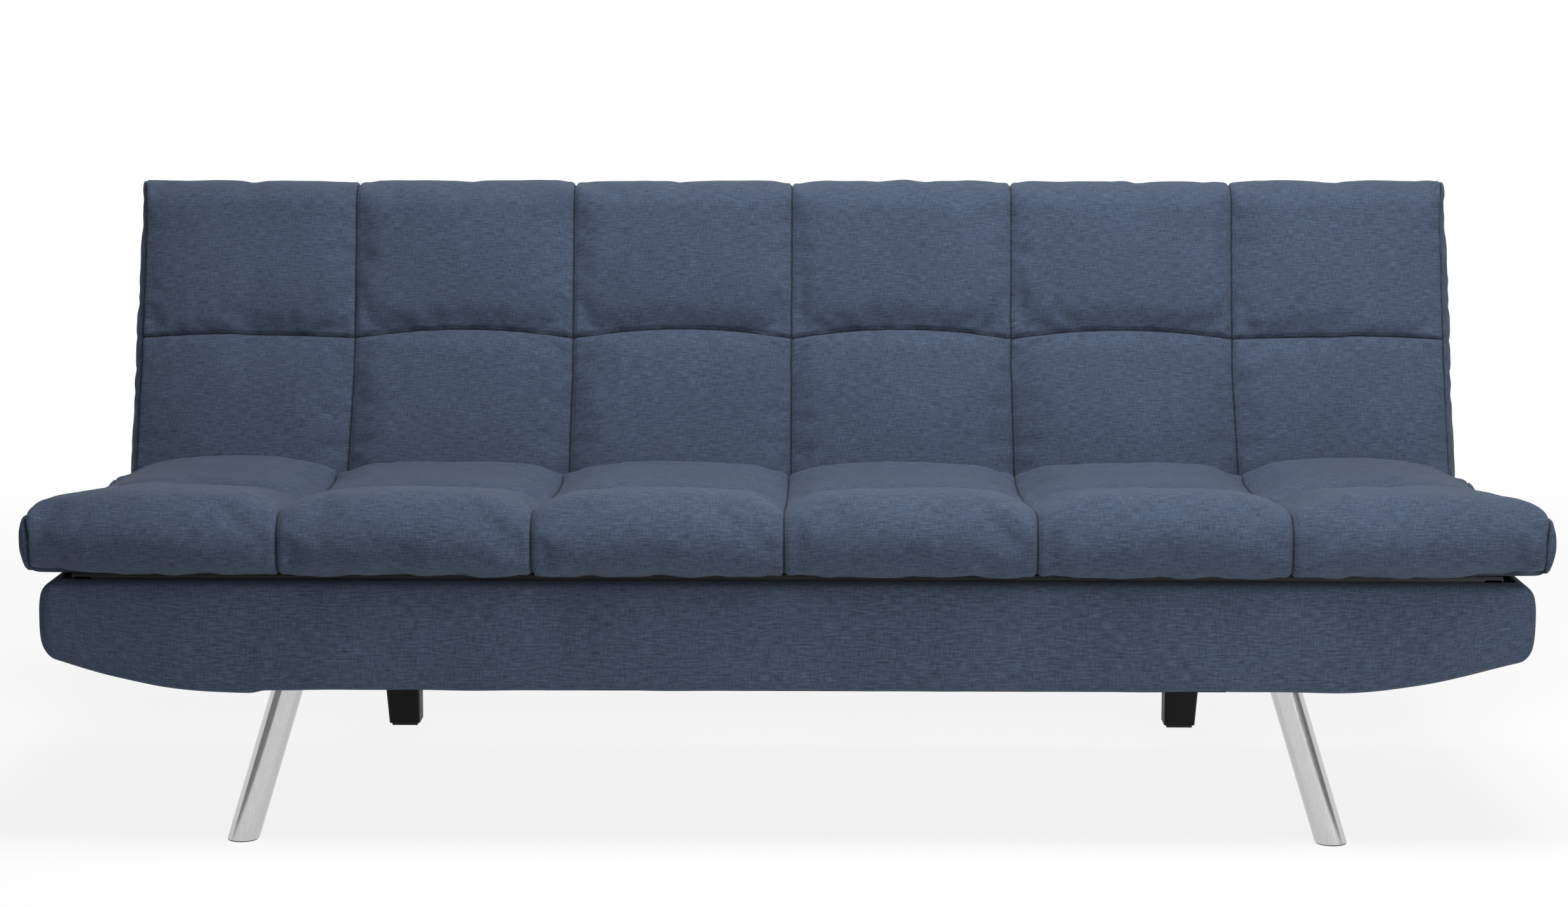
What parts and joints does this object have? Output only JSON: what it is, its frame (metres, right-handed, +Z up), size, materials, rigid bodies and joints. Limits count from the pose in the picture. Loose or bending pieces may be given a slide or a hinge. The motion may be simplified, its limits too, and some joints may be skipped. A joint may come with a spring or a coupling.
{
  "type": "sofa bed",
  "caption": "Armless click-clack sofa bed: quilted seat and folding back on steel frames over a fabric covered base with splayed tube front legs and block rear legs.",
  "frame": {"origin": "middle of the footprint, on the floor, with the back at its sofa lean", "axes": "+X along the sofa to a sitter's left, -Y is the front, +Z is up"},
  "size_m": [1.95, 0.8636, 0.823],
  "materials": {
    "upholstery": "matte",
    "lining": "matte",
    "felt": "matte",
    "timber": "matte",
    "frame_paint": "satin",
    "hinge_steel": "satin",
    "zinc": "satin",
    "spring_wire": "satin",
    "clip_plastic": "matte",
    "leg_chrome": "gloss",
    "leg_plastic": "satin",
    "rubber": "matte"
  },
  "bodies": {
    "backrest": {"back_arm_bolts": "zinc", "back_arm_left": "hinge_steel", "back_arm_right": "hinge_steel", "back_arm_spacers": "zinc", "back_felt": "felt", "back_front_rail": "frame_paint", "back_left_rail": "frame_paint", "back_pad": "upholstery", "back_rear_cloth": "lining", "back_rear_rail": "frame_paint", "back_right_rail": "frame_paint", "back_spring_clips": "clip_plastic", "back_springs": "spring_wire"},
    "base": {"base_bottom_cloth": "lining", "base_cross_brace": "timber", "base_end_board_left": "timber", "base_end_board_right": "timber", "base_end_cover_left": "upholstery", "base_end_cover_right": "upholstery", "base_front_board": "timber", "base_front_cover": "upholstery", "base_rear_board": "timber", "base_rear_cover": "upholstery", "bracket_screws": "zinc", "front_leg_glides": "rubber", "front_leg_left": "leg_chrome", "front_leg_plates": "frame_paint", "front_leg_right": "leg_chrome", "front_leg_screws": "zinc", "hinge_bolt_left": "zinc", "hinge_bolt_right": "zinc", "hinge_bracket_left": "hinge_steel", "hinge_bracket_right": "hinge_steel", "hinge_nuts": "zinc", "hinge_washers": "zinc", "rear_leg_glides": "rubber", "rear_leg_left": "leg_plastic", "rear_leg_right": "leg_plastic", "rear_leg_screws": "zinc", "runner_left": "frame_paint", "runner_right": "frame_paint", "seat_rest_blocks": "timber", "seat_rest_pads": "rubber"},
    "pawl_left": {"pawl_left": "hinge_steel"},
    "seat": {"pawl_pins": "zinc", "seat_arm_bolts": "zinc", "seat_arm_left": "hinge_steel", "seat_arm_right": "hinge_steel", "seat_felt": "felt", "seat_front_rail": "frame_paint", "seat_left_rail": "frame_paint", "seat_pad": "upholstery", "seat_rear_rail": "frame_paint", "seat_right_rail": "frame_paint", "seat_spring_clips": "clip_plastic", "seat_springs": "spring_wire"},
    "pawl_right": {"pawl_right": "hinge_steel"}
  },
  "joints": [
    {"name": "seat_lift", "type": "hinge", "parent": "base", "child": "seat", "pos_m": [0, 0.1986, 0.40371], "axis": [-1, 0, 0], "range_deg": [0, 12]},
    {"name": "back_recline", "type": "hinge", "parent": "seat", "child": "backrest", "pos_m": [0, 0.1986, 0.40371], "axis": [-1, 0, 0], "range_deg": [-8, 71]},
    {"name": "pawl_right_turn", "type": "hinge", "parent": "seat", "child": "pawl_right", "pos_m": [0, 0.1742, 0.36601], "axis": [1, 0, 0], "range_deg": [-1.5, 9]},
    {"name": "pawl_left_turn", "type": "hinge", "parent": "seat", "child": "pawl_left", "pos_m": [0, 0.1742, 0.36601], "axis": [1, 0, 0], "range_deg": [-1.5, 9]}
  ],
  "couplings": [
    {"joint": "pawl_right_turn", "follows": "back_recline", "ratio": 0.109},
    {"joint": "pawl_left_turn", "follows": "back_recline", "ratio": 0.109}
  ]
}
